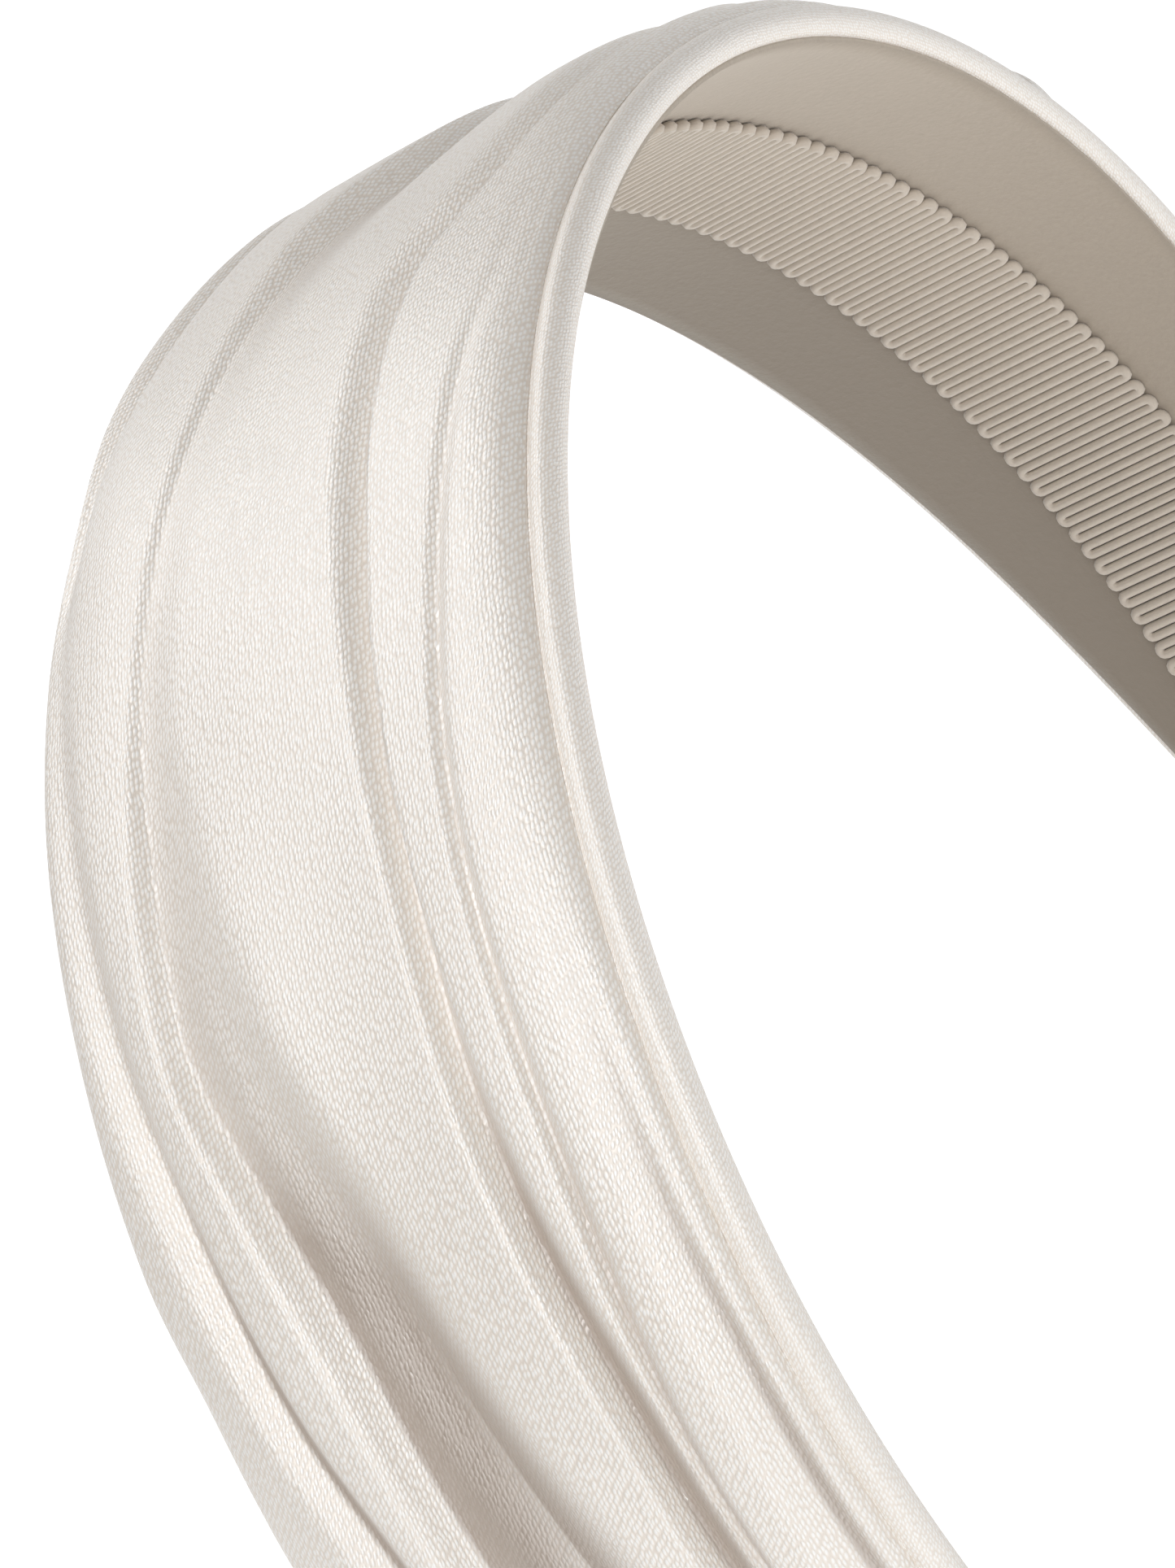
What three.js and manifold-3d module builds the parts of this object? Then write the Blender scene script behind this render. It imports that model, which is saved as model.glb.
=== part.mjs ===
// Side-knot satin headband: a sprung band, padded, covered and draped in pleated satin, with a suede-like
// lining and a gathered grip braid inside. Millimetres, +Z up. The band stands on its two tips, with the
// crown on top; +X is the knotted side, -Y is the front edge and +Y the back edge.
//
// Every layer follows one arch. A point of a layer is given by s, the arc length along the inner face from
// the crown (negative on the left), y, the place across the band, and an outward offset from the inner face.

import * as THREE from 'three';
import Module from 'manifold-3d';
import { mergeVertices } from 'three/addons/utils/BufferGeometryUtils.js';

const wasm = await Module();
wasm.setup();

// Arch of the inner face.
const HALF_LENGTH = 180;        // crown to tip, along the inner face
const CROWN_RADIUS = 68;        // radius of the inner face at the crown
const STRAIGHTENING = 4.5;      // how late along a leg the curve runs out to straight
const CROWN_SPLIT = 0.3;        // gap between the two halves, where the band's spring stands in as a hinge

// Width of the band.
const CROWN_WIDTH = 42.8;
const TIP_WIDTH = 9;
const TAPER = 3.6;              // how late along a leg the band narrows

// Layers, from the head outwards.
const CLEARANCE = 0.3;
const BRAID_THICKNESS = 1.1;
const BRAID_WIDTH = 14.6;
const BRAID_END_MARGIN = 16;    // bare lining beyond the braid's end
const LINING_THICKNESS = 0.6;
const LINING_INSET = 1.0;       // of the lining's edge from the band's edge
const LINING_END_MARGIN = 7;
const COVER_THICKNESS = 0.4;
const COVER_EDGE = 1.4;         // rolled edge of the base cover, two folds thick
const COVER_LIP = 9;            // of the base cover, folded under the core
const CORE_THICKNESS = 1.0;
const CORE_END_MARGIN = 6;
const FOAM_THICKNESS = 1.3;     // at the crown's centre line
const FOAM_TIP_THICKNESS = 0.5;
const FOAM_EDGE_DROP = 0.6;     // share of its thickness that the foam loses at its edges
const FOAM_END_MARGIN = 8;
const SATIN_THICKNESS = 0.8;    // folded outer satin, two or three layers
const PLEAT_HEIGHT = 0.6;
const PLEAT_COUNT = 4;
const ROLL_WIDTH = 1.9;         // of base cover left showing beside the outer satin
const SATIN_END_MARGIN = 12;

// Knot.
const KNOT_POSITION = 100;      // crown to the knot's middle, along the inner face
const KNOT_HALF_LENGTH = 23;
const KNOT_HALF_WIDTH = 15;
const KNOT_HEIGHT = 7;
const WRAP_HALF_LENGTH = 8.5;
const WRAP_THICKNESS = 1.4;
const WRAP_FOLDS = 3;
const WRAP_FOLD_HEIGHT = 0.5;

// Facets.
const ARCH_STATIONS = 30;       // along one half
const KNOT_STATIONS = 14;

const LINING_TOP = LINING_THICKNESS;
const LIP_BOTTOM = LINING_TOP + CLEARANCE;
const CORE_BOTTOM = LIP_BOTTOM + COVER_THICKNESS + CLEARANCE;
const FOAM_BOTTOM = CORE_BOTTOM + CORE_THICKNESS + CLEARANCE;

// ---- arch ---------------------------------------------------------------------------------------------

function turning(s) {
  const u = Math.min(Math.abs(s) / HALF_LENGTH, 1);
  const eased = u * (1 - u ** STRAIGHTENING / (STRAIGHTENING + 1));
  return Math.sign(s) * eased * HALF_LENGTH / CROWN_RADIUS;
}

function archPoint(s) {
  const steps = 200;
  const ds = s / steps;
  let x = 0;
  let drop = 0;
  for (let i = 0; i < steps; i++) {
    const angle = turning((i + 0.5) * ds);
    x += Math.cos(angle) * ds;
    drop += Math.sin(angle) * ds;
  }
  return { x, drop };
}

const ARCH_HEIGHT = archPoint(HALF_LENGTH).drop;

function place(s, y, offset) {
  const { x, drop } = archPoint(s);
  const angle = turning(s);
  return new THREE.Vector3(x + offset * Math.sin(angle), y, ARCH_HEIGHT - drop + offset * Math.cos(angle));
}

function along(s) {
  return Math.min(Math.abs(s) / HALF_LENGTH, 1);
}

function halfWidth(s) {
  return 0.5 * (CROWN_WIDTH - (CROWN_WIDTH - TIP_WIDTH) * along(s) ** TAPER);
}

// ---- heights of the layers ----------------------------------------------------------------------------

function foamTop(s, y) {
  const middle = FOAM_THICKNESS + (FOAM_TIP_THICKNESS - FOAM_THICKNESS) * along(s) ** 2;
  const v = y / halfWidth(s);
  return FOAM_BOTTOM + middle * (1 - FOAM_EDGE_DROP * v * v);
}

function cavityTop(s, y) {
  return foamTop(s, y) + CLEARANCE;
}

function coverTop(s, y) {
  return cavityTop(s, y) + COVER_THICKNESS;
}

function satinHalfWidth(s) {
  return halfWidth(s) - ROLL_WIDTH * Math.min(1, halfWidth(s) / (2 * ROLL_WIDTH));
}

function satinBottom(s, y) {
  return coverTop(s, y) + CLEARANCE;
}

function satinTop(s, y) {
  const v = y / satinHalfWidth(s);
  const pleats = 0.5 + 0.5 * Math.cos(Math.PI * PLEAT_COUNT * v);
  return satinBottom(s, y) + SATIN_THICKNESS + PLEAT_HEIGHT * pleats;
}

function knotHalfWidth(s) {
  const t = (s - KNOT_POSITION) / KNOT_HALF_LENGTH;
  return KNOT_HALF_WIDTH * (0.35 + 0.65 * Math.sqrt(Math.max(0, 1 - t * t)));
}

function knotRise(s, y) {
  const t = (s - KNOT_POSITION) / KNOT_HALF_LENGTH;
  const v = y / knotHalfWidth(s);
  const roundness = Math.max(0, 1 - t * t) * Math.max(0, 1 - v * v);
  return KNOT_HEIGHT * Math.sqrt(roundness);
}

function knotBottom(s, y) {
  return satinBottom(s, y) + SATIN_THICKNESS + PLEAT_HEIGHT + CLEARANCE;
}

function knotTop(s, y) {
  return knotBottom(s, y) + 0.8 + knotRise(s, y);
}

function wrapBottom(s, y) {
  return knotTop(s, y) + CLEARANCE;
}

function wrapTop(s, y) {
  const t = (s - KNOT_POSITION) / WRAP_HALF_LENGTH;
  const folds = 0.5 + 0.5 * Math.cos(Math.PI * WRAP_FOLDS * t);
  return wrapBottom(s, y) + WRAP_THICKNESS + WRAP_FOLD_HEIGHT * folds;
}

// ---- solids -------------------------------------------------------------------------------------------

// Even values from a to b, both ends included.
function spread(a, b, count) {
  return Array.from({ length: count + 1 }, (_, i) => a + (b - a) * i / count);
}

// Stations along one half: side is -1 on the left and +1 on the knotted right.
function stations(side, to, from = CROWN_SPLIT / 2) {
  const count = Math.max(4, Math.round(ARCH_STATIONS * (to - from) / HALF_LENGTH));
  const list = spread(from, to, count).map((s) => side * s);
  return side < 0 ? list.reverse() : list;
}

// A closed solid through sections of equal point count. section(s) lists [y, offset] counter-clockwise as
// seen looking back along the band, towards falling s.
function loft(list, section) {
  const rings = list.map(section);
  const size = rings[0].length;
  const positions = [];
  list.forEach((s, i) => rings[i].forEach(([y, offset]) => positions.push(...place(s, y, offset).toArray())));
  const index = [];
  for (let i = 0; i + 1 < list.length; i++) {
    for (let j = 0; j < size; j++) {
      const k = (j + 1) % size;
      const a = i * size + j;
      const b = i * size + k;
      index.push(a, b, b + size, a, b + size, a + size);
    }
  }
  const cap = (ring) => {
    const outline = ring.map(([y, offset]) => new THREE.Vector2(y, offset));
    return THREE.ShapeUtils.triangulateShape(outline, []);
  };
  const last = (list.length - 1) * size;
  cap(rings[0]).forEach(([a, b, c]) => index.push(a, c, b));
  cap(rings[list.length - 1]).forEach(([a, b, c]) => index.push(last + a, last + b, last + c));
  const geometry = new THREE.BufferGeometry();
  geometry.setAttribute('position', new THREE.Float32BufferAttribute(positions, 3));
  geometry.setIndex(index);
  return geometry;
}

// A layer between two heights, across the band from -reach(s) to reach(s).
function layer(list, reach, bottom, top, columns, bottomColumns = columns) {
  return loft(list, (s) => {
    const lower = spread(-reach(s), reach(s), bottomColumns).map((y) => [y, bottom(s, y)]);
    const upper = spread(reach(s), -reach(s), columns).map((y) => [y, top(s, y)]);
    return [...lower, ...upper];
  });
}

function toManifold(geometry) {
  const source = geometry.clone();
  source.deleteAttribute('normal');
  source.deleteAttribute('uv');
  const merged = mergeVertices(source);
  return new wasm.Manifold(new wasm.Mesh({
    numProp: 3,
    vertProperties: new Float32Array(merged.attributes.position.array),
    triVerts: new Uint32Array(merged.index.array),
  }));
}

function toGeometry(solid) {
  const mesh = solid.getMesh();
  const geometry = new THREE.BufferGeometry();
  geometry.setAttribute('position', new THREE.Float32BufferAttribute(mesh.vertProperties, 3));
  geometry.setIndex(Array.from(mesh.triVerts));
  return geometry;
}

function constant(value) {
  return () => value;
}

// ---- sub-parts ----------------------------------------------------------------------------------------

function coreReach(s) {
  return halfWidth(s) - COVER_EDGE - CLEARANCE;
}

function core(side) {
  const list = stations(side, HALF_LENGTH - CORE_END_MARGIN);
  return layer(list, coreReach, constant(CORE_BOTTOM), constant(CORE_BOTTOM + CORE_THICKNESS), 1);
}

function foam(side) {
  const list = stations(side, HALF_LENGTH - FOAM_END_MARGIN);
  return layer(list, coreReach, constant(FOAM_BOTTOM), foamTop, 6, 1);
}

function lining(side) {
  const list = stations(side, HALF_LENGTH - LINING_END_MARGIN);
  return layer(list, (s) => halfWidth(s) - LINING_INSET, constant(0), constant(LINING_TOP), 1);
}

function gripBraid(side) {
  const reach = (s) => Math.min(BRAID_WIDTH / 2, halfWidth(s) - 2 * LINING_INSET);
  const list = stations(side, HALF_LENGTH - BRAID_END_MARGIN);
  return layer(list, reach, constant(-CLEARANCE - BRAID_THICKNESS), constant(-CLEARANCE), 1);
}

// Outline of the base cover: flat under the band, rolled at both edges, domed over the foam.
function coverOutline(s) {
  const w = halfWidth(s);
  const edgeTop = coverTop(s, w);
  const right = [
    [w - 1.4, LIP_BOTTOM],
    [w - 0.4, LIP_BOTTOM + 0.4],
    [w, LIP_BOTTOM + 1.1],
    [w, edgeTop - 0.9],
    [w - 0.4, edgeTop - 0.3],
  ];
  const top = spread(w - 1.2, 1.2 - w, 6).map((y) => [y, coverTop(s, y)]);
  const left = right.map(([y, offset]) => [-y, offset]).reverse();
  return [...right, ...top, ...left];
}

// The base cover closes over the tip, whose end is flat where it stands.
function baseCover(side) {
  const past = 8;
  const outer = toManifold(loft(stations(side, HALF_LENGTH + past), coverOutline));
  const start = -CROWN_SPLIT;
  const cavityReach = (s) => halfWidth(s) - COVER_EDGE;
  const cavityList = stations(side, HALF_LENGTH - CORE_END_MARGIN + CLEARANCE, start);
  const cavityFloor = constant(LIP_BOTTOM + COVER_THICKNESS);
  const cavity = toManifold(layer(cavityList, cavityReach, cavityFloor, cavityTop, 6, 1));
  const slotReach = (s) => Math.max(0.8, halfWidth(s) - COVER_EDGE - COVER_LIP);
  const slotTop = constant(CORE_BOTTOM);
  const slotList = stations(side, HALF_LENGTH - CORE_END_MARGIN - COVER_LIP, start);
  const slot = toManifold(layer(slotList, slotReach, constant(0), slotTop, 1));
  const room = new THREE.BoxGeometry(400, 200, 400).translate(0, 0, 200);
  return toGeometry(outer.subtract(cavity).subtract(slot).intersect(toManifold(room)));
}

function outerSatin(side, from, to) {
  return layer(stations(side, to, from), satinHalfWidth, satinBottom, satinTop, 16, 6);
}

function knotStations(halfLength) {
  return spread(KNOT_POSITION - halfLength, KNOT_POSITION + halfLength, KNOT_STATIONS);
}

function knotGather() {
  return layer(knotStations(KNOT_HALF_LENGTH), knotHalfWidth, knotBottom, knotTop, 10);
}

function knotWrap() {
  const reach = (s) => Math.min(KNOT_HALF_WIDTH, satinHalfWidth(s));
  return layer(knotStations(WRAP_HALF_LENGTH), reach, wrapBottom, wrapTop, 12);
}

// ---- assembly -----------------------------------------------------------------------------------------

const SATIN = { color: 0xece8e2, roughness: 0.45, metalness: 0 };
const SUEDE = { color: 0xc2b6a4, roughness: 0.95, metalness: 0 };
const BRAID = { color: 0xc9c0b0, roughness: 0.9, metalness: 0 };
const FOAM = { color: 0xe9e4d2, roughness: 1, metalness: 0 };
const PLASTIC = { color: 0xdddbd5, roughness: 0.5, metalness: 0 };

const headband = new THREE.Group();

function addPart(name, geometry, look) {
  const mesh = new THREE.Mesh(geometry, new THREE.MeshStandardMaterial(look));
  mesh.name = name;
  headband.add(mesh);
}

for (const [name, side] of [['left', -1], ['right', 1]]) {
  addPart(`core_${name}`, core(side), PLASTIC);
  addPart(`foam_pad_${name}`, foam(side), FOAM);
  addPart(`base_cover_${name}`, baseCover(side), SATIN);
  addPart(`lining_${name}`, lining(side), SUEDE);
  addPart(`grip_braid_${name}`, gripBraid(side), BRAID);
}

const SATIN_END = HALF_LENGTH - SATIN_END_MARGIN;
addPart('outer_satin_left', outerSatin(-1, CROWN_SPLIT / 2, SATIN_END), SATIN);
addPart('outer_satin_middle', outerSatin(1, CROWN_SPLIT / 2, KNOT_POSITION - CLEARANCE / 2), SATIN);
addPart('outer_satin_right', outerSatin(1, KNOT_POSITION + CLEARANCE / 2, SATIN_END), SATIN);
addPart('knot_gather', knotGather(), SATIN);
addPart('knot_wrap', knotWrap(), SATIN);

// The origin lies under the middle of the whole, knot included.
const middle = new THREE.Box3().setFromObject(headband).getCenter(new THREE.Vector3());
headband.position.x = -middle.x;

export default headband;
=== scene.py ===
import math

import bpy
import numpy as np
from bpy.props import FloatProperty, FloatVectorProperty, IntProperty, PointerProperty
from bpy.types import Operator, Panel, PropertyGroup
from mathutils import Matrix, Vector


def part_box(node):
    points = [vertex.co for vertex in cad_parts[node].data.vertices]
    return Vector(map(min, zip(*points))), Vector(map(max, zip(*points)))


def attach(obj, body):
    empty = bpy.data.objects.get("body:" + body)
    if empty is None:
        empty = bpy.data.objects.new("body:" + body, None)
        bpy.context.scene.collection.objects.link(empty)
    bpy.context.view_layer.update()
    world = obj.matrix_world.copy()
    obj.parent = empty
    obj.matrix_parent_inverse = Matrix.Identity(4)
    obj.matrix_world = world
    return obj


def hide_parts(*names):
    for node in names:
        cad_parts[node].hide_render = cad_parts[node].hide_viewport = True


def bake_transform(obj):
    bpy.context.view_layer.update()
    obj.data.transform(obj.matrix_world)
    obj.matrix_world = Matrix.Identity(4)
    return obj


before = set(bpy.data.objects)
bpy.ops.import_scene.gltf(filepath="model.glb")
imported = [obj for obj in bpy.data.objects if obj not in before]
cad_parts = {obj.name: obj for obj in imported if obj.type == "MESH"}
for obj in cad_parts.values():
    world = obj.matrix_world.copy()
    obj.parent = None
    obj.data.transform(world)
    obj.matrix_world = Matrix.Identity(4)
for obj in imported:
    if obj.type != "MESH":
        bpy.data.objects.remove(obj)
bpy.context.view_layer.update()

bl_info = {
    "name": "Side-knot Satin Headband",
    "version": (1, 0, 0),
    "blender": (4, 5, 0),
    "location": "View3D > Sidebar > Headband",
    "description": "Builds a padded headband in pleated satin, with a side knot, a lining and a grip braid",
    "category": "Object",
}

MM = 0.001

# Where the crown is: halfway between the two halves of the core.
CROWN_X = (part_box("core_left")[1][0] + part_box("core_right")[0][0]) / 2


# ---- sizes and colours ----------------------------------------------------------------------------------


def length(name, description, millimetres):
    return FloatProperty(
        name=name,
        description=description,
        default=millimetres * MM,
        unit="LENGTH",
        subtype="DISTANCE",
        precision=5,
    )


def share(name, description, value):
    return FloatProperty(
        name=name, description=description, default=value, min=0.0, max=3.0, subtype="FACTOR"
    )


def colour(name, description, value):
    return FloatVectorProperty(
        name=name, description=description, default=value, size=3, min=0.0, max=1.0, subtype="COLOR"
    )


class BandSizes(PropertyGroup):
    half_length: length("Half length", "Crown to tip along the inner face", 180)
    crown_radius: length("Crown radius", "Radius of the inner face at the crown", 68)
    straightening: FloatProperty(
        name="Straightening",
        description="How late along a leg the curve runs out to straight",
        default=4.5,
        min=1,
    )
    crown_width: length("Crown width", "Width of the band at the crown", 42.8)
    tip_width: length("Tip width", "Width of the band at its tips", 9)
    taper: FloatProperty(
        name="Taper", description="How late along a leg the band narrows", default=3.6, min=1
    )
    roll: length("Edge roll", "Height of the rolled edge of the base cover", 3.0)
    lining: length("Lining", "Thickness of the suede lining", 0.55)
    lining_inset: length("Lining inset", "From the band's edge to the lining's edge", 1.0)


class SatinSizes(PropertyGroup):
    fold_depth: share("Fold depth", "Depth of every fold, as a share of the pressed depth", 1.55)
    back_fullness: share("Back fullness", "How far the loose fold bulges at the back edge", 1.0)
    ply: length("Ply", "Thickness of one turned layer of satin", 0.32)
    end_margin: length("End margin", "Bare cover beyond the satin's end", 12)
    pick: length("Pick", "Spacing of the satin's floats across their run", 0.29)


class KnotSizes(PropertyGroup):
    position: length("Position", "Crown to the middle of the knot, along the inner face", 100)
    half_length: length("Half length", "Middle of the knot to the end of the gather", 23)
    half_width: length("Half width", "Half the width of the gather", 15)
    height: length("Height", "Rise of the gather over the satin", 7.0)
    wrap_half: length("Wrap half length", "Half the width of the wrap over the gather", 8.5)
    wrap_folds: IntProperty(name="Wrap folds", description="Folds along the wrap", default=3, min=1, max=8)
    gather_folds: IntProperty(
        name="Gather folds", description="Folds across the gather", default=5, min=1, max=12
    )


class BraidSizes(PropertyGroup):
    width: length("Width", "Width of the braid over its loops", 14.6)
    cord: length("Cord", "Diameter of the braid's cord", 0.86)
    loop: length("Loop", "Length of band that one full turn of the cord takes", 1.86)
    end_margin: length("End margin", "Bare lining beyond the braid's end", 16)


class Colours(PropertyGroup):
    satin: colour("Satin", "Body colour of the satin", (0.86, 0.812, 0.75))
    # Painted highlight: the float colour whitens the float tops in place of the satin's sheen.
    painted_float_sheen: colour("Float", "Colour of the satin's raised floats", (0.90, 0.883, 0.86))
    # Painted shade: the valley colour darkens the gaps between the floats.
    valley: colour("Valley", "Colour between the satin's floats", (0.74, 0.66, 0.575))
    # Painted shade: the fold colour darkens the satin down in its folds.
    fold: colour("Fold", "Colour of the satin down in a fold", (0.37, 0.30, 0.245))
    lining: colour("Lining", "Colour of the suede lining", (0.37, 0.315, 0.255))
    braid: colour("Braid", "Colour of the grip braid's cord", (0.60, 0.53, 0.45))
    foam: colour("Foam", "Colour of the foam pad", (0.80, 0.76, 0.62))
    core: colour("Core", "Colour of the spring core", (0.72, 0.70, 0.66))
    floor: colour("Floor", "Colour of the floor", (0.92, 0.92, 0.92))


def sizes(context):
    scene = context.scene
    return scene.headband_band, scene.headband_satin, scene.headband_knot, scene.headband_braid


# ---- the arch -------------------------------------------------------------------------------------------


class Arch:
    """The curve of the band's inner face. s runs along it from the crown, y across, and o outwards."""

    def __init__(self, band):
        self.half = band.half_length
        self.crown_width, self.tip_width, self.taper = band.crown_width, band.tip_width, band.taper
        run = np.linspace(0, self.half * 1.05, 1601)
        u = np.minimum(run / self.half, 1)
        turn = u * (1 - u**band.straightening / (band.straightening + 1)) * self.half / band.crown_radius
        step = run[1] - run[0]
        middle = (turn[1:] + turn[:-1]) / 2
        self.run, self.turn = run, turn
        self.x = np.concatenate([[0], np.cumsum(np.cos(middle)) * step])
        self.drop = np.concatenate([[0], np.cumsum(np.sin(middle)) * step])
        self.height = float(np.interp(self.half, run, self.drop))

    def along(self, s):
        return np.minimum(np.abs(s) / self.half, 1)

    def half_width(self, s):
        return 0.5 * (self.crown_width - (self.crown_width - self.tip_width) * self.along(s) ** self.taper)

    def width_share(self, s):
        return self.half_width(s) / (self.crown_width / 2)

    def place(self, s, y, o):
        """Points for any matching arrays. Towards a tip the layers end level with the floor."""
        s, y, o = np.broadcast_arrays(s, y, o)
        level = np.clip((np.abs(s) / self.half - 0.86) / 0.14, 0, 1)
        side = np.sign(s)
        r = np.abs(s) - 0.66 * np.maximum(o, 0) * level**2
        r = np.maximum(r, 0)
        angle = np.interp(r, self.run, self.turn) * side
        x = np.interp(r, self.run, self.x) * side
        drop = np.interp(r, self.run, self.drop)
        return np.stack([CROWN_X + x + o * np.sin(angle), y, self.height - drop + o * np.cos(angle)], axis=-1)


def ease(x, knots, values):
    """A smooth line through the knots that never overshoots them."""
    knots, values = np.asarray(knots, float), np.asarray(values, float)
    x = np.clip(x, knots[0], knots[-1])
    gap = np.diff(knots)
    rate = np.diff(values) / gap
    slope = np.zeros_like(values)
    both = rate[:-1] * rate[1:]
    total = rate[:-1] + rate[1:]
    slope[1:-1] = np.where(both > 0, 2 * both / np.where(total == 0, 1, total), 0)
    slope[0], slope[-1] = rate[0], rate[-1]
    k = np.clip(np.searchsorted(knots, x, side="right") - 1, 0, len(gap) - 1)
    t = (x - knots[k]) / gap[k]
    return (
        (2 * t**3 - 3 * t**2 + 1) * values[k]
        + (t**3 - 2 * t**2 + t) * slope[k] * gap[k]
        + (3 * t**2 - 2 * t**3) * values[k + 1]
        + (t**3 - t**2) * slope[k + 1] * gap[k]
    )


# ---- meshes ---------------------------------------------------------------------------------------------


def cloth_shell(name, outer, uv, thickness=None, inner=None, shade=None):
    """A closed shell from a grid of outer points: rows along the band, columns from front to back."""
    if inner is None:
        along, across = np.gradient(outer, axis=0), np.gradient(outer, axis=1)
        normal = np.cross(along, across)
        normal /= np.maximum(np.linalg.norm(normal, axis=-1, keepdims=True), 1e-12)
        inner = outer - normal * np.broadcast_to(thickness, outer.shape[:2])[..., None]
    rows, cols = outer.shape[:2]
    points = np.concatenate([outer.reshape(-1, 3), inner.reshape(-1, 3)])
    number = np.arange(rows * cols).reshape(rows, cols)
    a, b = number[:-1, :-1].ravel(), number[1:, :-1].ravel()
    c, d = number[1:, 1:].ravel(), number[:-1, 1:].ravel()
    under = rows * cols
    faces = [np.stack([a, b, c, d], 1), np.stack([a + under, d + under, c + under, b + under], 1)]
    front, back = number[:, 0], number[:, -1]
    first, last = number[0], number[-1]
    faces.append(np.stack([front[:-1], front[:-1] + under, front[1:] + under, front[1:]], 1))
    faces.append(np.stack([back[:-1], back[1:], back[1:] + under, back[:-1] + under], 1))
    faces.append(np.stack([first[:-1], first[1:], first[1:] + under, first[:-1] + under], 1))
    faces.append(np.stack([last[:-1], last[:-1] + under, last[1:] + under, last[1:]], 1))
    piece = solid(name, points, np.concatenate(faces), np.concatenate([uv.reshape(-1, 2)] * 2))
    # The painted fold shade is kept on the points for the satin's colour.
    if shade is not None:
        layer = piece.data.attributes.new("fold_shade", "FLOAT", "POINT")
        layer.data.foreach_set("value", np.tile(shade.ravel(), 2).astype(np.float32))
    return piece


def put(name, data):
    """A new object in the scene, at the origin."""
    item = bpy.data.objects.new(name, data)
    bpy.context.scene.collection.objects.link(item)
    return item


def solid(name, points, faces, uv):
    mesh = bpy.data.meshes.new(name)
    mesh.from_pydata(points.tolist(), [], faces.tolist())
    layer = mesh.uv_layers.new(name="cloth")
    corners = np.empty(len(mesh.loops), dtype=np.int32)
    mesh.loops.foreach_get("vertex_index", corners)
    layer.data.foreach_set("uv", uv[corners].astype(np.float32).ravel())
    mesh.polygons.foreach_set("use_smooth", np.ones(len(mesh.polygons), dtype=bool))
    mesh.update()
    mesh.validate()
    return put(name, mesh)


def finish_with(piece, material):
    piece.data.materials.clear()
    piece.data.materials.append(material)


def run_across(points):
    """Distance over the surface from the first column, row by row."""
    step = np.linalg.norm(np.diff(points, axis=1), axis=-1)
    return np.concatenate([np.zeros((len(points), 1)), np.cumsum(step, axis=1)], axis=1)


def cloth_map(across, along):
    """Flat places on the cloth: across the band and along it, both kept above zero."""
    return np.stack([across + 0.1, np.broadcast_to(along + 0.3, across.shape)], axis=-1)


def flex(piece):
    """Bake the piece's transform into its mesh."""
    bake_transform(piece)


def paced(a, b, count, pull=0.8):
    """Even shares of the way from a to b, drawn closer together at both ends."""
    t = np.linspace(0, 1, count + 1)
    t = t - pull * np.sin(2 * np.pi * t) / (2 * np.pi)
    return a[:, None] + (b - a)[:, None] * t[None, :]


# ---- materials ------------------------------------------------------------------------------------------


class Nodes:
    """A node tree under construction."""

    def __init__(self, tree):
        self.tree = tree

    def add(self, kind, inputs=None, **settings):
        node = self.tree.nodes.new(kind)
        for key, value in settings.items():
            setattr(node, key, value)
        for key, value in (inputs or {}).items():
            self.feed(node.inputs[key], value)
        return node

    def feed(self, socket, value):
        if isinstance(value, bpy.types.NodeSocket):
            self.tree.links.new(value, socket)
        elif isinstance(value, bpy.types.Node):
            self.tree.links.new(value.outputs[0], socket)
        elif socket.type == "RGBA" and len(value) == 3:
            socket.default_value = (*value, 1)
        else:
            socket.default_value = value

    def maths(self, operation, *values):
        return self.add("ShaderNodeMath", dict(enumerate(values)), operation=operation)


class Finish(Nodes):
    """A node material under construction."""

    def __init__(self, name):
        self.material = bpy.data.materials.new(name)
        self.material.use_nodes = True
        super().__init__(self.material.node_tree)
        self.tree.nodes.clear()
        self.output = self.add("ShaderNodeOutputMaterial")
        self.spot = self.add("ShaderNodeTexCoord").outputs["Object"]

    def noise(self, scale, **inputs):
        return self.add("ShaderNodeTexNoise", {"Vector": self.spot, "Scale": scale, **inputs})

    def cells(self, scale, **inputs):
        return self.add("ShaderNodeTexVoronoi", {"Vector": self.spot, "Scale": scale, **inputs})

    def bump(self, height, strength, distance, **inputs):
        given = {"Height": height, "Strength": strength, "Distance": distance * MM, **inputs}
        return self.add("ShaderNodeBump", given)

    def blend_colour(self, factor, a, b):
        node = self.add("ShaderNodeMix", data_type="RGBA")
        self.feed(node.inputs[0], factor)
        self.feed(node.inputs[6], a)
        self.feed(node.inputs[7], b)
        return node.outputs[2]

    def ramp(self, factor, *stops):
        node = self.add("ShaderNodeValToRGB", {"Fac": factor})
        elements = node.color_ramp.elements
        while len(elements) < len(stops):
            elements.new(0.5)
        for element, (place, value) in zip(elements, stops):
            element.position = place
            element.color = (value, value, value, 1)
        return node

    def surface(self, **inputs):
        shader = self.add(
            "ShaderNodeBsdfPrincipled", {key.replace("_", " "): value for key, value in inputs.items()}
        )
        self.tree.links.new(shader.outputs[0], self.output.inputs[0])
        return shader


def toned(tone, factor):
    """The colour made lighter or darker."""
    return tuple(min(1, c * factor) for c in tone)


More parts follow.
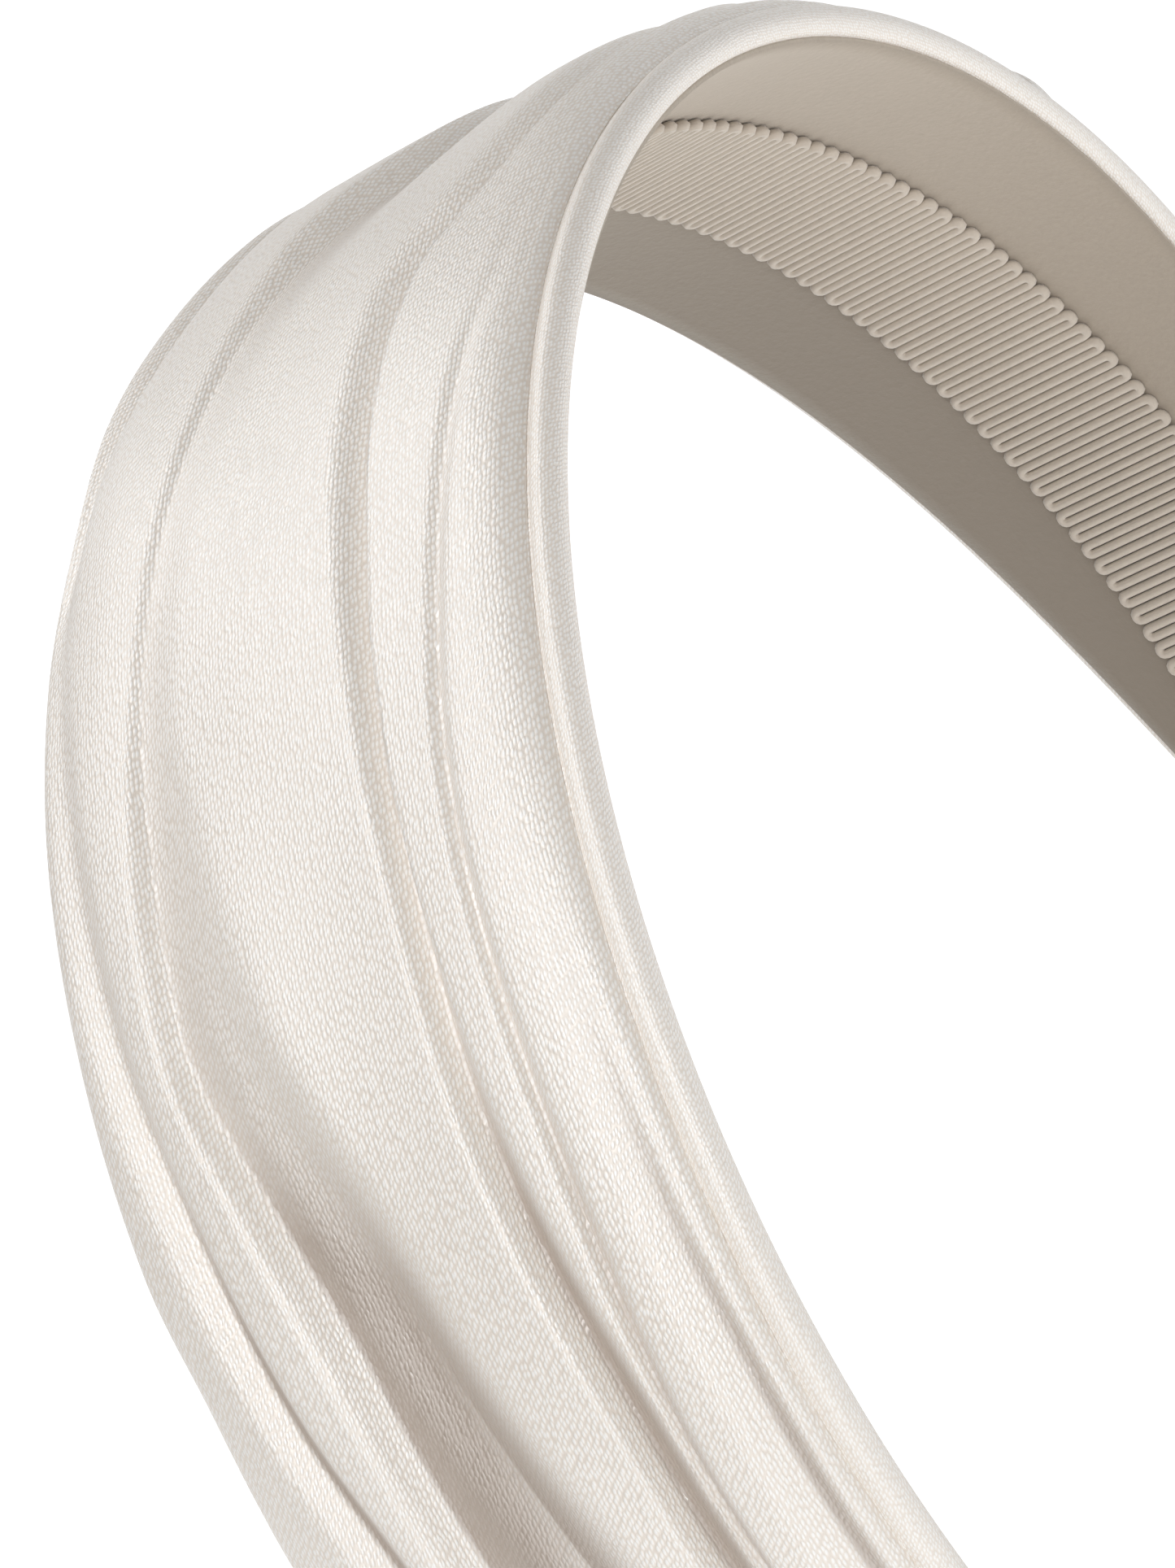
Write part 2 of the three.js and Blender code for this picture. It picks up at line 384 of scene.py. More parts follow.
def weave(make, pick, run, stagger, wander):
    """Height of staggered floats on the piece's own cloth map: 1 on top of a float, 0 between floats."""
    cloth = make.add("ShaderNodeUVMap", uv_map="cloth")
    drift = make.add(
        "ShaderNodeTexNoise", {"Vector": cloth, "Scale": 900.0, "Detail": 1.0}, noise_dimensions="2D"
    )
    centred = make.add(
        "ShaderNodeVectorMath", {0: drift.outputs["Color"], 1: (0.5, 0.5, 0.5)}, operation="SUBTRACT"
    )
    shift = make.add("ShaderNodeVectorMath", {0: centred, "Scale": wander * pick}, operation="SCALE")
    moved = make.add("ShaderNodeVectorMath", {0: cloth, 1: shift}, operation="ADD")
    parts = make.add("ShaderNodeSeparateXYZ", {0: moved})
    across = make.maths("DIVIDE", parts.outputs[0], pick)
    down = make.maths("DIVIDE", parts.outputs[1], run)
    slant = make.maths("MULTIPLY_ADD", across, stagger, down)
    place = make.add("ShaderNodeCombineXYZ", {0: across, 1: slant})
    cell = make.add(
        "ShaderNodeTexVoronoi", {"Vector": place, "Scale": 1.0, "Randomness": 0.42},
        voronoi_dimensions="2D", feature="F1",
    )
    top = make.add(
        "ShaderNodeMapRange",
        {"Value": cell.outputs["Distance"], "From Min": 0.12, "From Max": 0.62, "To Min": 1.0, "To Max": 0.0},
        interpolation_type="SMOOTHSTEP",
    )
    return cloth, cell, top.outputs[0]


def satin_finish(name, colours, pick, run_share=1.75, stagger=0.4, depth=0.075, gloss=0.42):
    """Satin: cream cloth with painted sheen on its float tops and painted shade between the floats and in its
    folds, glossy across the floats' run.
    """
    make = Finish(name)
    cloth, cell, top = weave(make, pick, pick * run_share, stagger, 0.5)
    broad = make.noise(45.0, Detail=3.0)
    fine = make.noise(900.0, Detail=2.0)
    # The weave's floats are real; the darker gaps between them are painted shade.
    body = make.blend_colour(top, tuple(colours.valley), tuple(colours.satin))
    # Painted highlight: the float tops are lightened towards the float colour.
    lit = make.ramp(top, (0.55, 0.0), (1.0, 1.0))
    body = make.blend_colour(lit, body, tuple(colours.painted_float_sheen))
    cooled = make.blend_colour(
        make.maths("MULTIPLY", broad.outputs["Fac"], 0.22), body, toned(colours.painted_float_sheen, 0.93)
    )
    # Painted shade: the fold_shade attribute darkens the satin towards the fold colour in each fold's valley and
    # over its front slope.
    turned = make.add("ShaderNodeAttribute", attribute_name="fold_shade", attribute_type="GEOMETRY")
    cooled = make.blend_colour(turned.outputs["Fac"], cooled, tuple(colours.fold))
    each = make.add("ShaderNodeSeparateColor", {0: cell.outputs["Color"]})
    rough = make.maths("MULTIPLY_ADD", each.outputs[0], 0.16, gloss - 0.08)
    rough = make.maths("MULTIPLY_ADD", fine.outputs["Fac"], 0.08, rough)
    height = make.maths("MULTIPLY_ADD", each.outputs[1], 0.35, top)
    bump = make.bump(height, 0.5, depth)
    ripple = make.noise(210.0, Detail=2.0)
    crumple = make.bump(ripple.outputs["Fac"], 0.16, 0.6, Normal=bump)
    make.surface(
        Base_Color=cooled,
        Roughness=rough,
        Normal=crumple,
        IOR=2.0,
        Specular_IOR_Level=0.9,
        Anisotropic=0.2,
        Sheen_Weight=0.12,
        Sheen_Roughness=0.35,
        Sheen_Tint=(1.0, 0.98, 0.96, 1.0),
        Tangent=make.add("ShaderNodeTangent", direction_type="UV_MAP", uv_map="cloth"),
    )
    return make.material


def suede_finish(colours):
    """Suede-like lining: short matt nap with soft clouding and a few brushed specks."""
    make = Finish("suede lining")
    cloud = make.noise(90.0, Detail=4.0)
    nap = make.noise(2600.0, Detail=4.0, Roughness=0.7)
    speck = make.cells(1500.0, Randomness=1.0)
    tone = tuple(colours.lining)
    base = make.blend_colour(nap.outputs["Fac"], toned(tone, 0.86), toned(tone, 1.12))
    base = make.blend_colour(
        make.maths("MULTIPLY", cloud.outputs["Fac"], 0.45), base, toned(tone, 1.07)
    )
    # Painted shadow: the lining is darkened on its +Y side, as if the back half lay in the crown's shadow.
    parts = make.add("ShaderNodeSeparateXYZ", {0: make.spot})
    side = make.add("ShaderNodeMapRange", {"Value": parts.outputs[1], "From Min": -0.006, "From Max": 0.006})
    base = make.blend_colour(side.outputs[0], base, toned(tone, 0.72))
    both = make.maths("ADD", nap.outputs["Fac"], make.maths("MULTIPLY", speck.outputs["Distance"], 0.5))
    bump = make.bump(both, 0.45, 0.12)
    make.surface(
        Base_Color=base,
        Roughness=make.maths("MULTIPLY_ADD", cloud.outputs["Fac"], 0.1, 0.86),
        Normal=bump,
        Specular_IOR_Level=0.2,
        Sheen_Weight=0.45,
        Sheen_Roughness=0.6,
        Sheen_Tint=(1.0, 0.95, 0.88, 1.0),
    )
    return make.material


def yarn_finish(colours):
    """Matt twisted yarn of the grip braid."""
    make = Finish("braid yarn")
    strand = make.noise(1800.0, Detail=3.0, Roughness=0.65)
    tint = make.noise(70.0, Detail=2.0)
    tone = tuple(colours.braid)
    base = make.blend_colour(strand.outputs["Fac"], toned(tone, 0.85), toned(tone, 1.12))
    base = make.blend_colour(make.maths("MULTIPLY", tint.outputs["Fac"], 0.3), base, tone)
    bump = make.bump(strand.outputs["Fac"], 0.5, 0.1)
    make.surface(
        Base_Color=base,
        Roughness=make.maths("MULTIPLY_ADD", strand.outputs["Fac"], 0.15, 0.72),
        Normal=bump,
        Specular_IOR_Level=0.3,
        Sheen_Weight=0.4,
        Sheen_Roughness=0.5,
    )
    return make.material


def foam_finish(colours):
    """Open-celled foam."""
    make = Finish("foam pad")
    cell = make.cells(1400.0)
    cloud = make.noise(120.0)
    tone = tuple(colours.foam)
    base = make.blend_colour(cell.outputs["Distance"], tone, toned(tone, 0.8))
    bump = make.bump(cell.outputs["Distance"], 0.8, 0.3)
    make.surface(
        Base_Color=make.blend_colour(make.maths("MULTIPLY", cloud.outputs["Fac"], 0.3), base, tone),
        Roughness=make.maths("MULTIPLY_ADD", cell.outputs["Distance"], 0.1, 0.88),
        Normal=bump,
        Specular_IOR_Level=0.2,
    )
    return make.material


def core_finish(colours):
    """Moulded spring core: satin plastic with a faint flow grain along the band."""
    make = Finish("spring core")
    grain = make.noise(320.0, Detail=4.0)
    tone = tuple(colours.core)
    bump = make.bump(grain.outputs["Fac"], 0.3, 0.05)
    make.surface(
        Base_Color=make.blend_colour(grain.outputs["Fac"], toned(tone, 0.93), tone),
        Roughness=make.maths("MULTIPLY_ADD", grain.outputs["Fac"], 0.15, 0.4),
        Normal=bump,
    )
    return make.material


# ---- folds of the outer satin ---------------------------------------------------------------------------

# Each fold is a valley line along the band. A row gives, in millimetres: the place along the band, the place
# across it at the crown's full width, the depth, how far the slope reaches behind the line and how crisp its
# upper edge is, then the same in front of the line. Rows run from the left tip to the knot.
MAIN_PLEAT = (
    (-168, -7.0, 0.30, 1.2, 0.3, 2.5, 0.0),
    (-115, -8.0, 0.80, 1.2, 0.4, 3.5, 0.0),
    (-76, -8.1, 1.20, 1.1, 0.5, 3.6, 0.0),
    (-66, -8.4, 1.20, 1.1, 0.5, 3.2, 0.0),
    (-53, -7.8, 1.15, 1.1, 0.5, 2.6, 0.0),
    (-44, -7.5, 1.10, 1.2, 0.4, 2.0, 0.1),
    (-34, -7.7, 1.10, 1.4, 0.3, 1.2, 0.2),
    (-20, -7.8, 1.10, 2.0, 0.1, 0.6, 0.3),
    (-7, -7.9, 1.05, 2.8, 0.0, 0.4, 0.4),
    (0, -8.2, 1.05, 3.4, 0.0, 0.35, 0.4),
    (11, -9.8, 1.10, 4.0, 0.0, 0.35, 0.4),
    (21, -14.2, 1.10, 4.2, 0.0, 0.35, 0.4),
    (32, -16.6, 1.05, 4.2, 0.0, 0.35, 0.4),
    (45, -17.0, 1.10, 4.0, 0.0, 0.4, 0.3),
    (68, -12.5, 0.90, 3.0, 0.0, 1.0, 0.0),
    (100, -8.0, 0.80, 2.0, 0.0, 2.0, 0.0),
)
INNER_TUCK = (
    (-168, -10.0, 0.12, 0.8, 0.2, 1.2, 0.0),
    (-110, -10.6, 0.40, 0.8, 0.3, 1.3, 0.0),
    (-75, -11.0, 0.55, 0.7, 0.3, 1.4, 0.0),
    (-54, -12.1, 0.55, 0.6, 0.3, 1.3, 0.0),
    (-30, -12.5, 0.48, 0.7, 0.2, 1.2, 0.0),
    (-15, -13.6, 0.38, 0.9, 0.0, 1.3, 0.0),
    (0, -15.3, 0.26, 1.0, 0.0, 1.4, 0.0),
    (8, -16.6, 0.10, 1.0, 0.0, 1.4, 0.0),
    (21, -17.3, 0.00, 1.0, 0.0, 1.0, 0.0),
    (45, -18.0, 0.00, 1.0, 0.0, 1.0, 0.0),
    (68, -15.0, 0.50, 1.6, 0.0, 1.4, 0.0),
    (100, -12.0, 0.70, 1.8, 0.0, 1.6, 0.0),
)
EDGE_HOLLOW = (
    (-168, -14.5, 0.10, 2.4, 0.0, 1.6, 0.0),
    (-110, -16.4, 0.60, 2.4, 0.0, 1.6, 0.0),
    (-80, -17.1, 0.85, 2.6, 0.0, 1.8, 0.0),
    (-66, -17.3, 0.75, 2.4, 0.0, 1.6, 0.0),
    (-55, -17.1, 0.45, 2.0, 0.0, 1.4, 0.0),
    (-42, -17.2, 0.12, 2.0, 0.0, 1.4, 0.0),
    (-30, -17.4, 0.00, 2.0, 0.0, 1.4, 0.0),
    (0, -17.9, 0.00, 1.4, 0.0, 1.0, 0.0),
    (45, -18.6, 0.00, 1.0, 0.0, 0.8, 0.0),
    (68, -17.2, 0.20, 1.2, 0.0, 1.0, 0.0),
    (100, -16.0, 0.50, 1.6, 0.0, 1.4, 0.0),
)
BACK_TUCK = (
    (-168, 5.0, 0.35, 1.6, 0.5, 5.0, 0.0),
    (-115, 7.5, 1.10, 1.8, 0.7, 8.0, 0.0),
    (-90, 7.8, 1.40, 1.9, 0.8, 9.5, 0.0),
    (-71, 8.0, 1.50, 2.0, 0.85, 10.0, 0.0),
    (-58, 8.3, 1.50, 1.9, 0.85, 10.0, 0.0),
    (-47, 10.2, 1.40, 1.7, 0.85, 9.0, 0.0),
    (-36, 12.7, 1.10, 1.5, 0.8, 8.0, 0.0),
    (-24, 12.2, 0.75, 1.1, 0.7, 6.0, 0.0),
    (-15, 11.6, 0.42, 0.9, 0.5, 4.0, 0.0),
    (0, 9.6, 0.28, 0.9, 0.2, 4.0, 0.0),
    (12, 7.5, 0.45, 1.4, 0.0, 6.0, 0.0),
    (25, 4.0, 1.00, 2.2, 0.0, 9.0, 0.0),
    (45, -1.2, 1.50, 2.6, 0.0, 10.0, 0.0),
    (68, -1.5, 1.20, 2.4, 0.0, 6.0, 0.0),
    (100, -1.0, 0.90, 2.0, 0.0, 3.0, 0.0),
)
SOFT_HOLLOW = (
    (-168, 0.0, 0.15, 3.0, 0.0, 4.0, 0.0),
    (-115, -1.5, 0.75, 4.2, 0.0, 5.5, 0.0),
    (-90, -1.0, 1.00, 4.5, 0.0, 5.5, 0.0),
    (-73, 1.2, 0.95, 4.2, 0.0, 5.5, 0.0),
    (-61, 3.2, 0.90, 4.0, 0.0, 5.0, 0.0),
    (-50, 4.8, 0.75, 3.6, 0.0, 4.5, 0.0),
    (-38, 7.4, 0.35, 3.0, 0.0, 4.0, 0.0),
    (-26, 8.5, 0.04, 3.0, 0.0, 4.0, 0.0),
    (-10, 7.0, 0.00, 3.0, 0.0, 4.0, 0.0),
    (12, 1.0, 0.00, 3.0, 0.0, 4.0, 0.0),
    (45, -6.0, 0.00, 3.0, 0.0, 4.0, 0.0),
    (68, -6.0, 0.30, 2.4, 0.0, 2.4, 0.0),
    (100, -4.5, 0.60, 1.8, 0.0, 1.8, 0.0),
)
OUTER_TUCK = (
    (-168, 10.0, 0.15, 2.0, 0.0, 2.0, 0.0),
    (-115, 12.6, 0.70, 2.6, 0.0, 2.2, 0.0),
    (-70, 13.8, 1.00, 2.6, 0.1, 2.2, 0.1),
    (-59, 15.2, 1.00, 2.4, 0.1, 2.0, 0.1),
    (-48, 16.5, 0.90, 2.2, 0.1, 1.8, 0.1),
    (-35, 18.0, 0.65, 2.0, 0.0, 1.8, 0.0),
    (-22, 18.4, 0.32, 2.0, 0.0, 1.8, 0.0),
    (-8, 19.4, 0.22, 2.0, 0.0, 2.0, 0.0),
    (0, 19.9, 0.45, 2.0, 0.0, 2.0, 0.0),
    (10, 19.3, 0.70, 2.2, 0.0, 2.4, 0.0),
    (22, 17.6, 0.90, 2.6, 0.0, 3.4, 0.0),
    (45, 14.0, 1.10, 3.0, 0.0, 4.0, 0.0),
    (68, 9.0, 0.90, 2.4, 0.0, 3.0, 0.0),
    (100, 5.0, 0.80, 2.0, 0.0, 2.0, 0.0),
)
FOLDS = (EDGE_HOLLOW, INNER_TUCK, MAIN_PLEAT, SOFT_HOLLOW, BACK_TUCK, OUTER_TUCK)
COLUMNS = (14, 16, 18, 34, 16, 18, 20)

# The satin's section before folding, in millimetres: distance across the cloth, place across the band at the
# crown's full width, and height over the inner face. Beyond 19 the cloth turns down over the back edge.
SECTION = (
    (-19.9, -19.45, 2.80),
    (-19.4, -19.30, 3.30),
    (-18.7, -18.85, 3.95),
    (-17.6, -17.75, 4.70),
    (-16.0, -16.0, 5.30),
    (-13.0, -13.0, 5.65),
    (-8.0, -8.0, 5.90),
    (0.0, 0.0, 6.10),
    (8.0, 8.0, 6.42),
    (14.0, 14.0, 6.38),
    (17.0, 17.0, 6.00),
    (19.0, 19.0, 5.55),
    (20.8, 20.6, 4.80),
    (22.2, 21.45, 3.90),
    (23.2, 21.65, 3.10),
    (23.8, 21.40, 2.75),
)

# How far the loose fold bulges at the back edge, by place along the band.
FULLNESS = (
    (-168, 0.0),
    (-92, 0.5),
    (-70, 0.9),
    (-57, 0.5),
    (-48, 1.1),
    (-28, 0.9),
    (-8, 0.5),
    (4, 0.0),
    (16, 0.5),
    (45, 0.5),
    (100, 0.0),
)


def fold_rows(fold, s):
    """The fold's place and shape at each station."""
    rows = np.array(fold, float)
    return [ease(s, rows[:, 0], rows[:, k]) for k in range(1, 7)]


def slope_down(way, crisp):
    """From 1 at the valley to 0 at the end of the slope. A crisp slope ends in an edge, a soft one fades out."""
    way = np.clip(way, 0, 1)
    return (1 - crisp) * (1 - way) ** 2 * (1 + 2 * way) + crisp * (1 - way**1.6)


def cover_height(q):
    """Top of the base cover over the foam, in millimetres, at a place across the crown's full width."""
    return ease(np.abs(q), [0, 6, 12, 16, 18.5, 19.4], [4.55, 4.5, 4.2, 3.6, 3.0, 2.8])


def tip_share(arch, s):
    """The layers thin out a little towards the tips."""
    return 1 - 0.17 * arch.along(s) ** 2


def satin_rows(arch, satin, knot, stations, mirrored):
    """The folded section at each station: way across the cloth, place across the band, height and painted fold
    shade.
    """
    s = stations / MM
    pivot = knot.position / MM
    reach = (arch.half - satin.end_margin) / MM
    # Beyond the knot the folds run out to the tip as they do on the other leg.
    folded = np.interp(s, [pivot, pivot + 30, reach], [100, 72, 66]) if mirrored else s
    run_out = np.clip((s - pivot) / (reach - pivot), 0, 1) if mirrored else np.zeros_like(s)
    lines = [fold_rows(fold, folded) for fold in FOLDS]
    edges = [np.full_like(s, SECTION[0][0])] + [line[0] for line in lines] + [np.full_like(s, SECTION[-1][0])]
    across = [paced(edges[k], edges[k + 1], COLUMNS[k])[:, (1 if k else 0):] for k in range(len(COLUMNS))]
    t = np.concatenate(across, axis=1)
    section = np.array(SECTION)
    q = ease(t, section[:, 0], section[:, 1])
    o = ease(t, section[:, 0], section[:, 2])
    depth, shade = np.zeros_like(t), np.zeros_like(t)
    for place, deep, behind, crisp_behind, before, crisp_before in lines:
        gap = t - place[:, None]
        back = slope_down(gap / behind[:, None], crisp_behind[:, None])
        front = slope_down(-gap / before[:, None], crisp_before[:, None])
        depth += (deep * (1 - 0.7 * run_out))[:, None] * np.where(gap >= 0, back, front)
        # Painted shade: darkest in each fold's valley and over its front slope, by the fold's depth.
        turned = np.where(gap >= 0, slope_down(gap / 0.5, 0.0), front)
        shade = np.maximum(shade, (deep * (1 - 0.5 * run_out))[:, None] * turned)
    # Slight unevenness along the folds.
    wave = 0.10 * np.sin(s[:, None] / 9.7 + t / 2.9) + 0.07 * np.sin(s[:, None] / 5.3 - t / 4.1 + 1.3)
    # Gathers that run in to the knot from both sides.
    near = s - pivot
    bearing = np.arctan2(q, np.abs(near)[:, None] + 7.0)
    pull = np.exp(-np.abs(near)[:, None] / 15.0) * np.clip(np.abs(q) / 6, 0, 1)
    gathers = 0.42 * pull * (0.5 - 0.5 * np.cos(15 * bearing + 0.8 * np.sin(near[:, None] / 6)))
    edge = np.clip((SECTION[-1][0] - 1.2 - t) / 2.0, 0, 1) * np.clip((t - SECTION[0][0] - 0.5) / 1.2, 0, 1)
    down = satin.fold_depth * (depth + (wave + gathers) * edge)
    o = np.where(np.abs(q) < 18.8, np.maximum(o - down, np.minimum(o, 3.35)), o - down * edge)
    # The painted fold shade is strongest low on the leg, weak about the crown and stronger again towards the
    # knot.
    strength = np.interp(folded, [-75, -54, -42, 25, 100], [1.0, 0.85, 0.3, 0.3, 0.6])[:, None]
    # The loose fold at the back edge.
    rows = np.array(FULLNESS)
    bulge = 1.4 * run_out * (1 - run_out) if mirrored else ease(s, rows[:, 0], rows[:, 1])
    out = np.clip((t - 17.5) / 3.0, 0, 1) ** 1.5 * np.clip((o - 2.9) / 0.5, 0, 1)
    return t, q + satin.back_fullness * bulge[:, None] * out, o, np.clip(1.05 * shade * strength, 0, 0.97)


def satin_points(arch, satin, knot, stations, mirrored):
    """The pleated surface: points and cloth map, one row for each station."""
    t, q, o, shade = satin_rows(arch, satin, knot, stations, mirrored)
    scale = arch.width_share(stations)[:, None]
    o = o * tip_share(arch, stations)[:, None]
    # The cut end is turned under and pressed down.
    end = stations[-1] if mirrored else stations[0]
    o = o - 0.45 * np.clip(1 - np.abs(stations - end) / (2.2 * MM), 0, 1)[:, None] ** 2
    points = arch.place(stations[:, None], q * scale * MM, o * MM)
    run = run_across(points)
    middle = np.array([np.interp(0.0, t[i], run[i]) for i in range(len(stations))])
    return points, cloth_map(run - middle[:, None], stations[:, None]), shade


def under_satin(arch, satin, knot, stations, q):
    """Height in millimetres that the layers under the satin may reach, at places across the crown's width."""
    free = cover_height(q)
    end = arch.half - satin.end_margin
    for mirrored in (False, True):
        beyond = stations >= knot.position
        covered = beyond & (stations <= end) if mirrored else ~beyond & (stations >= -end)
        rows = np.nonzero(covered)[0]
        _, place, height, _ = satin_rows(arch, satin, knot, stations[rows], mirrored)
        for row, place_row, height_row in zip(rows, place, height):
            single = place_row[1:] > place_row[:-1]
            last = len(place_row) if single.all() else int(np.argmin(single))
            low = np.interp(q[row], place_row[:last], height_row[:last]) - satin.ply / MM - 0.06
            free[row] = np.minimum(free[row], low)
    return free


class HEADBAND_OT_outer_satin(Operator):
    """Pleat the outer satin over both legs, with its folds running in to the knot"""

    bl_idname = "headband.outer_satin"
    bl_label = "Outer Satin"

    def execute(self, context):
        band, satin, knot, _ = sizes(context)
        arch = Arch(band)
        finish = satin_finish("outer satin", context.scene.headband_colours, satin.pick)
        end = arch.half - satin.end_margin
        gap = 0.15 * MM
        step = 1.15 * MM
        runs = (
            ("outer_satin_front", -end, knot.position - gap, False),
            ("outer_satin_short", knot.position + gap, end, True),
        )
        for name, start, stop, mirrored in runs:
            stations = np.linspace(start, stop, int(round((stop - start) / step)) + 1)
            points, uv, shade = satin_points(arch, satin, knot, stations, mirrored)
            piece = cloth_shell(name, points, uv, satin.ply, shade=shade)
            finish_with(piece, finish)
            if mirrored:
                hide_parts("outer_satin_right")
                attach(piece, "right_half")
            else:
                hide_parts("outer_satin_left", "outer_satin_middle")
                flex(piece)
            width = 58 * MM
            cut = float(np.mean(arch.width_share(stations))) * width * (stop - start)
        return {"FINISHED"}


# ---- base cover, lining, foam, core ---------------------------------------------------------------------


DOME = np.linspace(-1, 1, 41)


def cover_section(half_width, roll, dome_heights):
    """Outline of the base cover at one station, front lip to back lip, in millimetres: place and height."""
    w = half_width / MM
    small = min(1.0, w / 9.0)
    h = roll / 3.0 / MM
    lip = max(0.12, w - 9)
    bead = [
        (w - 2.6 * small, 0.78),
        (w - 1.6 * small, 0.70),
        (w - 0.95 * small, 0.42),
        (w - 0.45 * small, 0.52),
        (w - 0.12 * small, 0.98),
        (w, 1.55),
        (w - 0.12 * small, 2.12),
        (w - 0.45 * small, 2.62),
        (w - 0.95 * small, 2.92),
        (w - 1.45 * small, 2.92),
        (w - 1.85 * small, 2.72),
    ]
    front = [(-lip, 0.80), (-(lip + w - 2.6 * small) / 2, 0.80)] + [(-y, o * h) for y, o in bead]
    inside = max(w - 2.4 * small, 0.3)
    dome = list(zip(DOME * inside, dome_heights))
    back = [(-y, o) for y, o in reversed(front)]
    return np.array(front + dome + back)


class HEADBAND_OT_base_cover(Operator):
    """Wrap the base satin round the core and foam, with a rolled edge on both sides"""

    bl_idname = "headband.base_cover"
    bl_label = "Base Cover"

    def execute(self, context):
        band, satin, knot, _ = sizes(context)
        arch = Arch(band)
        stations = np.concatenate(
            [
                np.linspace(-arch.half, -arch.half + 4 * MM, 12)[:-1],
                np.linspace(-arch.half + 4 * MM, arch.half - 4 * MM, 280),
                np.linspace(arch.half - 4 * MM, arch.half, 12)[1:],
            ]
        )
        width = arch.half_width(stations) / MM
        inside = np.maximum(width - 2.4 * np.minimum(1, width / 9), 0.3) / width * 21.4
        heights = under_satin(arch, satin, knot, stations, DOME[None, :] * inside[:, None])
        heights = heights * tip_share(arch, stations)[:, None]
        rows = []
        for s, row in zip(stations, heights):
            line = cover_section(float(arch.half_width(s)), band.roll, row)
            # Round the outline by sampling it finely along its own length.
            run = np.concatenate([[0], np.cumsum(np.linalg.norm(np.diff(line, axis=0), axis=1))])
            fine = np.interp(
                np.linspace(0, len(line) - 1, 2 * (len(line) - 1) + 1), np.arange(len(line)), run
            )
            y, o = ease(fine, run, line[:, 0]), ease(fine, run, line[:, 1])
            left = (arch.half - abs(s)) / (3.5 * MM)
            if left < 1:
                shrink = math.sqrt(max(0.0, 1 - (1 - left) ** 2))
                y, o = y * (0.45 + 0.55 * shrink), 1.9 + (o - 1.9) * max(shrink, 0.02)
            rows.append(np.stack([np.full_like(y, s), y * MM, o * MM], axis=-1))
        grid = np.array(rows)
        points = arch.place(grid[..., 0], grid[..., 1], grid[..., 2])
        run = run_across(points)
        run = run - run[:, run.shape[1] // 2][:, None]
        uv = cloth_map(run, grid[..., 0])
        piece = cloth_shell("base_cover", points, uv, 0.22 * MM)
        finish_with(
            piece,
            satin_finish(
                "base satin", context.scene.headband_colours, satin.pick * 0.8, 1.5, 0.5, depth=0.05, gloss=0.44
            ),
        )
        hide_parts("base_cover_left", "base_cover_right")
        flex(piece)
        return {"FINISHED"}


class HEADBAND_OT_foam_and_core(Operator):
    """Shape the foam pad and the spring core under it"""

    bl_idname = "headband.foam_and_core"
    bl_label = "Foam and Core"

    def execute(self, context):
        band, satin, knot, _ = sizes(context)
        arch = Arch(band)
        end = arch.half - 8 * MM
        stations = np.linspace(-end, end, 260)
        v = np.linspace(-1, 1, 61)
        reach = (arch.half_width(stations) - 2.0 * MM)[:, None]
        y = v[None, :] * reach
        k = arch.width_share(stations)[:, None]
        top = under_satin(arch, satin, knot, stations, y / MM / k)
        top = (top * tip_share(arch, stations)[:, None] - 0.32) * MM
        # Shaved thin at the edges, with a soft, slightly uneven face.
        top = top - 0.25 * MM * np.clip((np.abs(v[None, :]) - 0.85) / 0.15, 0, 1) ** 2
        top = top - 0.05 * MM * (1 + np.sin(stations[:, None] / 0.011 + 5 * v[None, :]))
        bottom = np.full_like(top, 2.68 * MM)
        top = np.maximum(top, bottom + 0.08 * MM)
        outer = arch.place(stations[:, None], y, top)
        inner = arch.place(stations[:, None], y, bottom)
        uv = cloth_map(y, stations[:, None])
        pad = cloth_shell("foam_pad", outer, uv, inner=inner)
        finish_with(pad, foam_finish(context.scene.headband_colours))
        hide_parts("foam_pad_left", "foam_pad_right")
        flex(pad)

        # The spring core: a flat strip with softened long edges, full round at its tips.
        end = arch.half - 6 * MM
        round_end = 3 * MM * np.linspace(0, 1, 9) ** 2
        stations = np.concatenate(
            [-end + round_end[:-1], np.linspace(-end + 3 * MM, end - 3 * MM, 240), end - round_end[:-1][::-1]]
        )
        rounding = np.sqrt(np.maximum(0.02, 1 - np.clip(1 - (end - np.abs(stations)) / (3 * MM), 0, 1) ** 2))
        y = (np.linspace(-1, 1, 25)[None, :]) * ((arch.half_width(stations) - 1.9 * MM) * rounding)[:, None]
        edge = np.clip((np.abs(np.linspace(-1, 1, 25)) - 0.9) / 0.1, 0, 1)[None, :] ** 2 * 0.35 * MM
        outer = arch.place(stations[:, None], y, 2.6 * MM - edge)
        inner = arch.place(stations[:, None], y, 1.6 * MM + edge)
        uv = cloth_map(y, stations[:, None])
        core = cloth_shell("spring_core", outer, uv, inner=inner)
        finish_with(core, core_finish(context.scene.headband_colours))
        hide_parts("core_left", "core_right")
        flex(core)
        return {"FINISHED"}


# ---- geometry node trees --------------------------------------------------------------------------------


